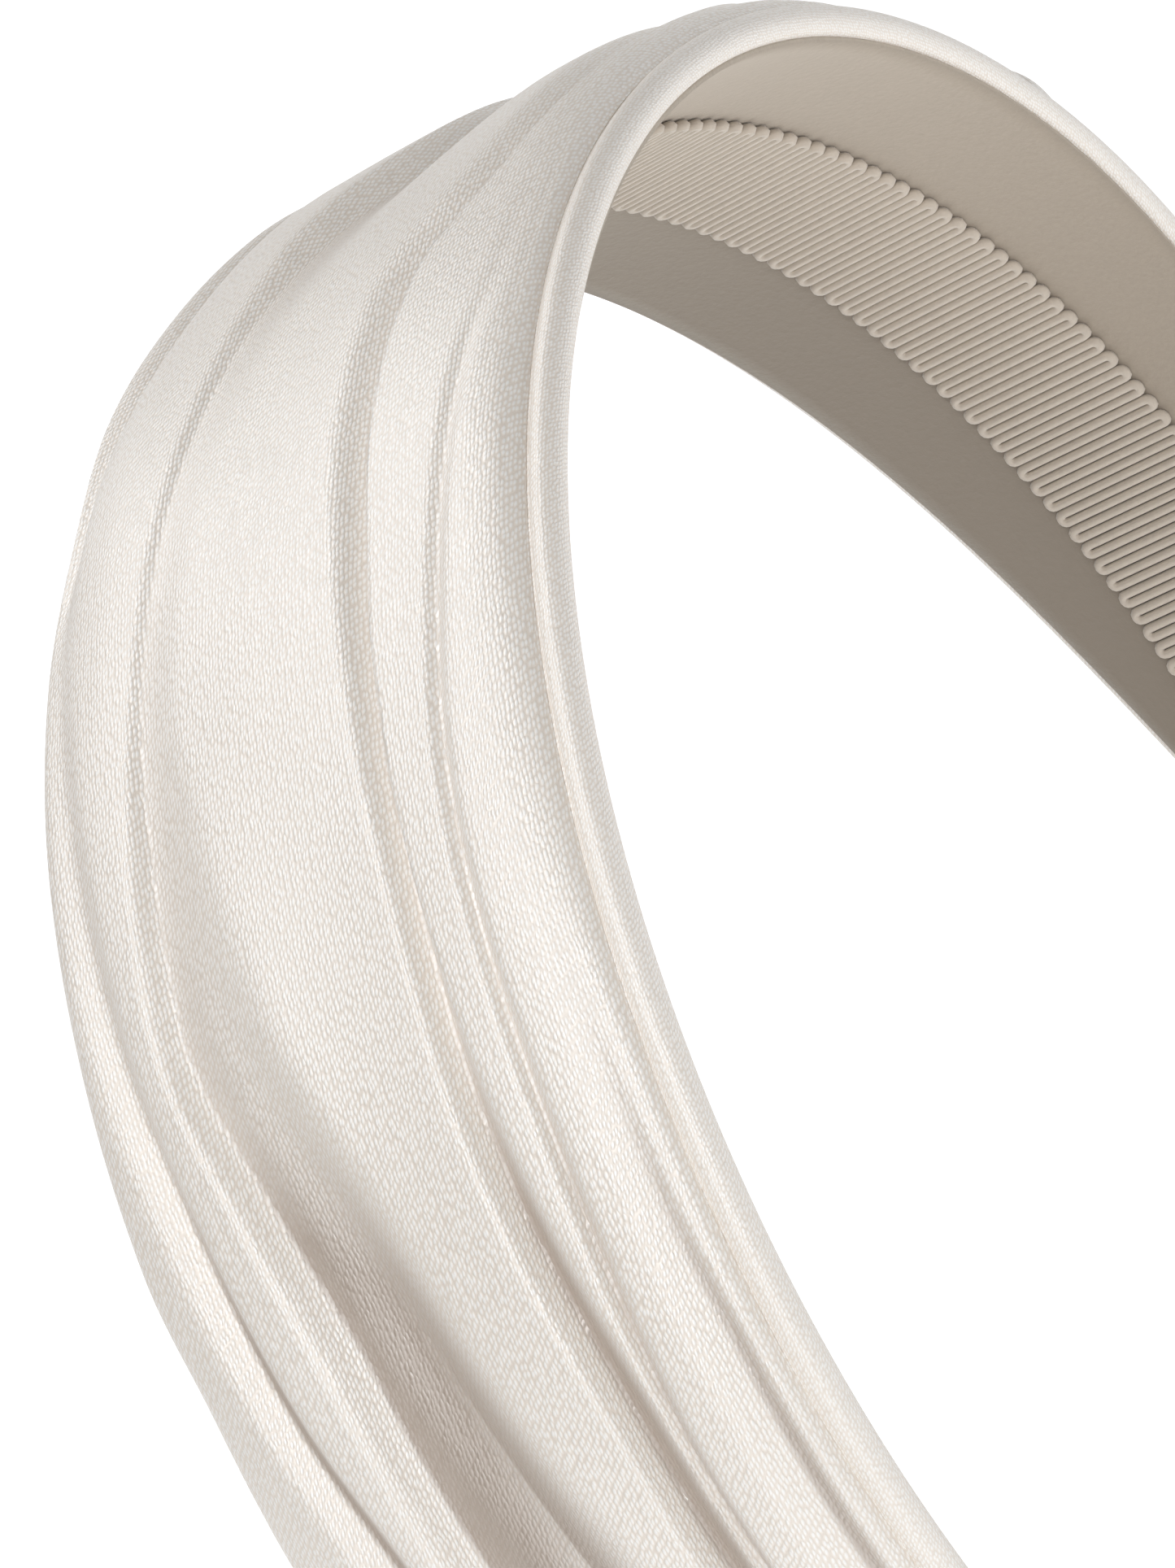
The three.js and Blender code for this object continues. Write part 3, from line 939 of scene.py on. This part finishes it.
class Rule(Nodes):
    """A Geometry Nodes tree under construction."""

    def __init__(self, name, inputs):
        super().__init__(bpy.data.node_groups.new(name, "GeometryNodeTree"))
        self.tree.interface.new_socket("Geometry", in_out="INPUT", socket_type="NodeSocketGeometry")
        self.keys = {}
        for label, (kind, value) in inputs.items():
            socket = self.tree.interface.new_socket(label, in_out="INPUT", socket_type=kind)
            if value is not None:
                socket.default_value = value
            self.keys[label] = socket.identifier
        self.tree.interface.new_socket("Geometry", in_out="OUTPUT", socket_type="NodeSocketGeometry")
        self.start = self.tree.nodes.new("NodeGroupInput")
        self.end = self.tree.nodes.new("NodeGroupOutput")

    def vector(self, operation, *values):
        return self.add("ShaderNodeVectorMath", dict(enumerate(values)), operation=operation)

    def finish(self, geometry):
        real = self.add("GeometryNodeRealizeInstances", {"Geometry": geometry})
        dressed = self.add(
            "GeometryNodeSetMaterial", {"Geometry": real, "Material": self.start.outputs["Material"]}
        )
        self.tree.links.new(dressed.outputs[0], self.end.inputs[0])

    def make(self, name, path, values):
        """Run the tree on a path and keep the result as a plain mesh."""
        modifier = path.modifiers.new("rule", "NODES")
        modifier.node_group = self.tree
        for label, value in values.items():
            modifier[self.keys[label]] = value
        ready = path.evaluated_get(bpy.context.evaluated_depsgraph_get())
        mesh = bpy.data.meshes.new_from_object(ready)
        path.modifiers.remove(modifier)
        bpy.data.objects.remove(path)
        mesh.name = name
        return put(name, mesh)


def arch_path(arch, name, start, stop, offset, count=721):
    """The inner face's centre line, as an open curve."""
    s = np.linspace(start, stop, count)
    points = arch.place(s, np.zeros_like(s), np.full_like(s, offset))
    data = bpy.data.curves.new(name, "CURVE")
    data.dimensions = "3D"
    line = data.splines.new("POLY")
    line.points.add(count - 1)
    line.points.foreach_set("co", np.column_stack([points, np.ones(count)]).astype(np.float32).ravel())
    return put(name, data)


def cord_rule():
    """A cord laid in tight loops along a path: straight ribs across it, round turns at both edges."""
    rule = Rule(
        "looped cord",
        {
            "Loops": ("NodeSocketInt", 100),
            "Steps per loop": ("NodeSocketInt", 12),
            "Loop length": ("NodeSocketFloat", 0.0018),
            "Width": ("NodeSocketFloat", 0.014),
            "Cord radius": ("NodeSocketFloat", 0.0004),
            "Flattening": ("NodeSocketFloat", 0.8),
            "Material": ("NodeSocketMaterial", None),
        },
    )
    given = rule.start.outputs
    count = rule.maths("MULTIPLY_ADD", given["Loops"], given["Steps per loop"], 1.0)
    even = rule.add("GeometryNodeResampleCurve", {"Curve": given["Geometry"], "Count": count})
    half_steps = rule.maths("MULTIPLY", given["Steps per loop"], 0.5)
    index = rule.add("GeometryNodeInputIndex")
    step = rule.maths("MODULO", index, half_steps)
    rib = rule.maths("FLOOR", rule.maths("DIVIDE", rule.maths("ADD", index, 0.1), half_steps))
    bend = rule.maths(
        "MULTIPLY", rule.maths("DIVIDE", step, rule.maths("SUBTRACT", half_steps, 1.0)), math.pi
    )
    radius = rule.maths("MULTIPLY", given["Loop length"], 0.25)
    round_x = rule.maths("MULTIPLY", radius, rule.maths("SUBTRACT", 1.0, rule.maths("COSINE", bend)))
    ahead_of_rib = rule.maths("MULTIPLY_ADD", rib, rule.maths("MULTIPLY", radius, 2.0), round_x)
    even_place = rule.maths(
        "MULTIPLY", index, rule.maths("DIVIDE", given["Loop length"], given["Steps per loop"])
    )
    lean = rule.maths("SUBTRACT", ahead_of_rib, even_place)
    side = rule.maths("MULTIPLY_ADD", rule.maths("MODULO", rib, 2.0), -2.0, 1.0)
    straight = rule.maths("SUBTRACT", rule.maths("MULTIPLY", given["Width"], 0.5), radius)
    reach = rule.maths(
        "MULTIPLY", side, rule.maths("MULTIPLY_ADD", rule.maths("SINE", bend), radius, straight)
    )
    tangent = rule.add("GeometryNodeInputTangent")
    ahead = rule.add("ShaderNodeVectorMath", {0: tangent, "Scale": lean}, operation="SCALE")
    aside = rule.add("ShaderNodeCombineXYZ", {1: reach})
    laid = rule.add("GeometryNodeSetPosition", {"Geometry": even, "Offset": rule.vector("ADD", ahead, aside)})
    round_cord = rule.add(
        "GeometryNodeCurvePrimitiveCircle", {"Resolution": 6, "Radius": given["Cord radius"]}
    )
    tube = rule.add(
        "GeometryNodeCurveToMesh", {"Curve": laid, "Profile Curve": round_cord, "Fill Caps": True}
    )
    smooth = rule.add("GeometryNodeSetShadeSmooth", {"Geometry": tube})
    rule.finish(smooth)
    return rule


def ribbon_rule():
    """A sheet laid along a path, narrowing to its ends by the band's rule, with both faces and all edges."""
    rule = Rule(
        "tapered sheet",
        {
            "Rows": ("NodeSocketInt", 200),
            "Columns": ("NodeSocketInt", 17),
            "Middle width": ("NodeSocketFloat", 0.04),
            "End width": ("NodeSocketFloat", 0.009),
            "Taper": ("NodeSocketFloat", 3.6),
            "Reach": ("NodeSocketFloat", 0.96),
            "Inset": ("NodeSocketFloat", 0.001),
            "Thickness": ("NodeSocketFloat", 0.0006),
            "Material": ("NodeSocketMaterial", None),
        },
    )
    given = rule.start.outputs
    grid = rule.add("GeometryNodeMeshGrid", {"Vertices X": given["Rows"], "Vertices Y": given["Columns"]})
    spot = rule.add("ShaderNodeSeparateXYZ", {0: rule.add("GeometryNodeInputPosition")})
    way = rule.maths("ADD", spot.outputs[0], 0.5)
    side = rule.maths("MULTIPLY", spot.outputs[1], 2.0)
    sample = rule.add(
        "GeometryNodeSampleCurve", {"Curves": given["Geometry"], "Factor": way},
        mode="FACTOR", use_all_curves=True,
    )
    far = rule.maths(
        "MULTIPLY", rule.maths("ABSOLUTE", rule.maths("MULTIPLY", spot.outputs[0], 2.0)), given["Reach"]
    )
    loss = rule.maths("SUBTRACT", given["Middle width"], given["End width"])
    width = rule.maths(
        "SUBTRACT", given["Middle width"], rule.maths(
            "MULTIPLY", loss, rule.maths("POWER", far, given["Taper"])
        )
    )
    half = rule.maths("SUBTRACT", rule.maths("MULTIPLY", width, 0.5), given["Inset"])
    across = rule.add("ShaderNodeCombineXYZ", {1: rule.maths("MULTIPLY", half, side)})
    place = rule.vector("ADD", sample.outputs["Position"], across)
    laid = rule.add("GeometryNodeSetPosition", {"Geometry": grid.outputs["Mesh"], "Position": place})
    mapped = rule.add(
        "GeometryNodeStoreNamedAttribute",
        {
            "Geometry": laid,
            "Name": "cloth",
            "Value": rule.add(
                "ShaderNodeCombineXYZ", {
                    0: rule.maths("MULTIPLY", half, side), 1: rule.maths("MULTIPLY", way, 0.36)
                }
            ),
        },
        data_type="FLOAT2",
        domain="CORNER",
    )
    thick = rule.add(
        "GeometryNodeExtrudeMesh", {"Mesh": mapped, "Offset Scale": given["Thickness"], "Individual": False},
        mode="FACES",
    )
    under = rule.add("GeometryNodeFlipFaces", {"Mesh": mapped})
    joined = rule.add("GeometryNodeJoinGeometry")
    rule.tree.links.new(thick.outputs["Mesh"], joined.inputs[0])
    rule.tree.links.new(under.outputs["Mesh"], joined.inputs[0])
    closed = rule.add("GeometryNodeMergeByDistance", {"Geometry": joined, "Distance": 0.00001})
    smooth = rule.add("GeometryNodeSetShadeSmooth", {"Geometry": closed})
    rule.finish(smooth)
    return rule


class HEADBAND_OT_lining(Operator):
    """Lay the suede lining along the inside of the band"""

    bl_idname = "headband.lining"
    bl_label = "Lining"

    def execute(self, context):
        band, _, _, _ = sizes(context)
        arch = Arch(band)
        end = arch.half - 7 * MM
        rule = ribbon_rule()
        piece = rule.make(
            "lining",
            arch_path(arch, "lining path", -end, end, 0.02 * MM),
            {
                "Rows": 300,
                "Columns": 25,
                "Middle width": band.crown_width,
                "End width": band.tip_width,
                "Taper": band.taper,
                "Reach": end / arch.half,
                "Inset": band.lining_inset,
                "Thickness": band.lining,
                "Material": suede_finish(context.scene.headband_colours),
            },
        )
        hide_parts("lining_left", "lining_right")
        flex(piece)
        return {"FINISHED"}


class HEADBAND_OT_grip_braid(Operator):
    """Lay the looped cord of the grip braid along the middle of the lining"""

    bl_idname = "headband.grip_braid"
    bl_label = "Grip Braid"

    def execute(self, context):
        band, _, _, braid = sizes(context)
        arch = Arch(band)
        end = arch.half - braid.end_margin
        piece = cord_rule().make(
            "grip_braid",
            arch_path(arch, "braid path", -end, end, -0.04 * MM - braid.cord / 2),
            {
                "Loops": int(round(2 * end / braid.loop)),
                "Steps per loop": 14,
                "Loop length": braid.loop,
                "Width": braid.width - braid.cord,
                "Cord radius": braid.cord / 2,
                "Material": yarn_finish(context.scene.headband_colours),
            },
        )
        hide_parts("grip_braid_left", "grip_braid_right")
        flex(piece)
        return {"FINISHED"}


# ---- knot -----------------------------------------------------------------------------------------------


class HEADBAND_OT_knot(Operator):
    """Gather the satin into the knot's two puffs and wrap them at the middle"""

    bl_idname = "headband.knot"
    bl_label = "Knot"

    def execute(self, context):
        band, satin, knot, _ = sizes(context)
        arch = Arch(band)
        finish = satin_finish("knot satin", context.scene.headband_colours, satin.pick)

        # The gather: pinched at the middle, fanning out and sinking into the satin at its ends.
        a = np.linspace(-1, 1, 121)[:, None]
        v = np.sin(np.linspace(-1, 1, 97) * math.pi / 2)[None, :]
        pinch = 1 - 0.12 * np.exp(-((a / 0.3) ** 2))
        end_round = 0.35 + 0.65 * np.sqrt(np.maximum(0, 1 - np.abs(a) ** 7))
        half = knot.half_width * (0.94 + 0.06 * np.abs(a)) * end_round * pinch
        rise = knot.height * np.cos(a * math.pi / 2) ** 1.15 * (1 - 0.12 * np.exp(-((a / 0.28) ** 2)))
        dome = np.maximum(0, 1 - np.abs(v) ** 2.3) ** 0.5
        lean = v + 0.10 * np.sin(2.2 * a + 0.5)
        ridge = np.abs(np.sin(math.pi * knot.gather_folds / 2 * (lean + 0.13 * lean**2)))
        deep = (1.15 + 0.5 * np.exp(-((a / 0.4) ** 2))) * np.minimum(1, 2.2 * (1 - np.abs(a))) * dome**0.6
        creases = deep * (1 - ridge**0.55) + 0.16 * np.sin(7 * a + 4 * v) * dome
        base = 6.0 - 1.3 * np.abs(a) ** 5
        top = base + (rise / MM) * dome + 0.8 * np.minimum(1, 3 * (1 - np.abs(a))) * (1 - v**8) - creases
        bottom = base - 1.0 + 0 * top
        top = np.maximum(top, bottom + 0.25)
        s = knot.position + a * knot.half_length + 0 * v
        y = half * v
        outer = arch.place(s, y, top * MM)
        inner = arch.place(s, y * 0.98, bottom * MM)
        uv = cloth_map(y * (1 + 0.5 * (1 - dome)), s)
        gather = cloth_shell("gather_satin", outer, uv, inner=inner)

        # The wrap: over the gather and down to the rolled edge on both sides, pleated along its run.
        way = np.linspace(-1, 1, 131)[:, None]
        b = np.linspace(-1, 1, 73)[None, :]
        path = (
            (-1.0, -20.3, 2.5),
            (-0.93, -19.8, 3.7),
            (-0.84, -18.6, 5.6),
            (-0.66, -16.0, 9.6),
            (-0.42, -10.6, 13.1),
            (-0.2, -5.2, 14.9),
            (0.0, 0.0, 15.5),
            (0.2, 5.2, 14.9),
            (0.42, 10.6, 13.1),
            (0.66, 16.3, 9.6),
            (0.84, 19.5, 6.0),
            (0.93, 21.5, 4.0),
            (1.0, 22.2, 2.4),
        )
        line = np.array(path)
        yy = ease(way, line[:, 0], line[:, 1])
        oo = ease(way, line[:, 0], line[:, 2])
        wide = knot.wrap_half / MM * (1 - 0.30 * np.abs(way) ** 1.5)
        skew = 1.6 * way
        folds = np.abs(np.cos(math.pi * knot.wrap_folds / 2 * (b + 0.10 * np.sin(3 * way))))
        sink = 1.05 * (1 - folds**0.5) + 3.4 * np.clip((np.abs(b) - 0.72) / 0.28, 0, 1) ** 2
        ny = np.gradient(oo[:, 0])[:, None]
        no = -np.gradient(yy[:, 0])[:, None]
        size = np.hypot(ny, no)
        ny, no = ny / size, no / size
        yy = yy + sink * ny
        oo = oo + sink * no
        s = knot.position + (b * wide + skew) * MM
        scale = arch.width_share(s)
        outer = arch.place(s, yy * MM * scale, oo * MM)
        run = np.cumsum(np.hypot(np.gradient(yy[:, 36]), np.gradient(oo[:, 36])))[:, None] * MM
        uv = np.stack([s - knot.position + 0.1 + 0 * way, run + 0 * b], axis=-1)
        outer = np.swapaxes(outer, 0, 1)
        wrap = cloth_shell("wrap_satin", outer, np.swapaxes(uv, 0, 1), 0.5 * MM)

        for piece, node in ((gather, "knot_gather"), (wrap, "knot_wrap")):
            finish_with(piece, finish)
            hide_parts(node)
            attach(piece, "right_half")
        return {"FINISHED"}


# ---- stage ----------------------------------------------------------------------------------------------


def soft_light(name, place, aim, size, power):
    data = bpy.data.lights.new(name, "AREA")
    data.shape = "RECTANGLE"
    data.size, data.size_y = size
    data.energy = power
    light = put(name, data)
    light.location = place
    light.rotation_euler = (Vector(aim) - Vector(place)).to_track_quat("-Z", "Y").to_euler()


class HEADBAND_OT_stage(Operator):
    """Set the pale floor, the soft lights and the camera"""

    bl_idname = "headband.stage"
    bl_label = "Stage"

    def execute(self, context):
        scene = context.scene
        colours = scene.headband_colours
        make = Finish("floor")
        mottle = make.noise(6.0)
        tone = tuple(colours.floor)
        make.surface(
            Base_Color=make.blend_colour(mottle.outputs["Fac"], toned(tone, 0.99), tone),
            Roughness=0.9,
            Emission_Color=(1.0, 1.0, 1.0, 1.0),
            Emission_Strength=0.5,
        )
        mesh = bpy.data.meshes.new("floor")
        side = 25.0
        mesh.from_pydata(
            [(-side, -side, 0), (side, -side, 0), (side, side, 0), (-side, side, 0)], [], [(0, 1, 2, 3)]
        )
        floor = put("floor", mesh)
        finish_with(floor, make.material)

        world = bpy.data.worlds.new("studio")
        world.use_nodes = True
        world.node_tree.nodes["Background"].inputs[0].default_value = (1.0, 1.0, 1.0, 1.0)
        world.node_tree.nodes["Background"].inputs[1].default_value = 0.09
        scene.world = world
        aim = (0, 0, 0.09)
        soft_light("overhead", (0.0, 0.15, 1.15), aim, (1.2, 0.4), 6.2)
        soft_light("key", (-0.70, -0.46, 0.80), aim, (0.6, 0.6), 5.0)
        soft_light("fill", (-1.0, -0.15, 0.30), aim, (0.5, 0.5), 1.3)
        soft_light("back", (0.69, 0.59, 0.72), aim, (0.5, 0.5), 2.6)

        scene.view_settings.view_transform = "Standard"
        scene.view_settings.look = "None"
        scene.view_settings.exposure = 0.0

        azimuth, elevation, roll = math.radians(-49.45), math.radians(34.47), math.radians(-51.12)
        target = Vector((0.00945, 0.01795, 0.08944))
        distance = 0.42317
        away = Vector(
            (
                math.sin(azimuth) * math.cos(elevation),
                -math.cos(azimuth) * math.cos(elevation),
                math.sin(elevation),
            )
        )
        right = Vector((math.cos(azimuth), math.sin(azimuth), 0))
        up = away.cross(right)
        across = math.cos(roll) * right + math.sin(roll) * up
        upright = -math.sin(roll) * right + math.cos(roll) * up
        data = bpy.data.cameras.new("camera")
        data.sensor_fit = "VERTICAL"
        sensor_height = 36.0
        focal_share = 7000 / 1928
        data.sensor_height = sensor_height
        data.lens = focal_share * sensor_height
        data.clip_start = 0.01
        data.clip_end = 50.0
        camera = put("camera", data)
        camera.matrix_world = Matrix.Translation(target + away * distance) @ Matrix(
            (across, upright, away)
        ).transposed().to_4x4()
        scene.camera = camera
        return {"FINISHED"}


# ---- panel and registration -----------------------------------------------------------------------------


class HEADBAND_PT_build(Panel):
    """Sizes, colours and build steps of the headband"""

    bl_label = "Headband"
    bl_idname = "HEADBAND_PT_build"
    bl_space_type = "VIEW_3D"
    bl_region_type = "UI"
    bl_category = "Headband"

    def draw(self, context):
        scene = context.scene
        for title, group in (
            ("Band", scene.headband_band),
            ("Satin", scene.headband_satin),
            ("Knot", scene.headband_knot),
            ("Braid", scene.headband_braid),
            ("Colours", scene.headband_colours),
        ):
            box = self.layout.box()
            box.label(text=title)
            for key in group.__annotations__:
                box.prop(group, key)
        column = self.layout.column(align=True)
        for step in STEPS:
            column.operator(step.bl_idname)


GROUPS = (BandSizes, SatinSizes, KnotSizes, BraidSizes, Colours)
STEPS = (
    HEADBAND_OT_stage,
    HEADBAND_OT_foam_and_core,
    HEADBAND_OT_base_cover,
    HEADBAND_OT_lining,
    HEADBAND_OT_grip_braid,
    HEADBAND_OT_outer_satin,
    HEADBAND_OT_knot,
)
PLACES = ("headband_band", "headband_satin", "headband_knot", "headband_braid", "headband_colours")


def register():
    for item in (*GROUPS, *STEPS, HEADBAND_PT_build):
        bpy.utils.register_class(item)
    for place, group in zip(PLACES, GROUPS):
        setattr(bpy.types.Scene, place, PointerProperty(type=group))


def unregister():
    for place in PLACES:
        delattr(bpy.types.Scene, place)
    for item in reversed((*GROUPS, *STEPS, HEADBAND_PT_build)):
        bpy.utils.unregister_class(item)


def main():
    register()
    for step in STEPS:
        getattr(bpy.ops.headband, step.bl_idname.partition(".")[2])()


if __name__ == "__main__":
    main()
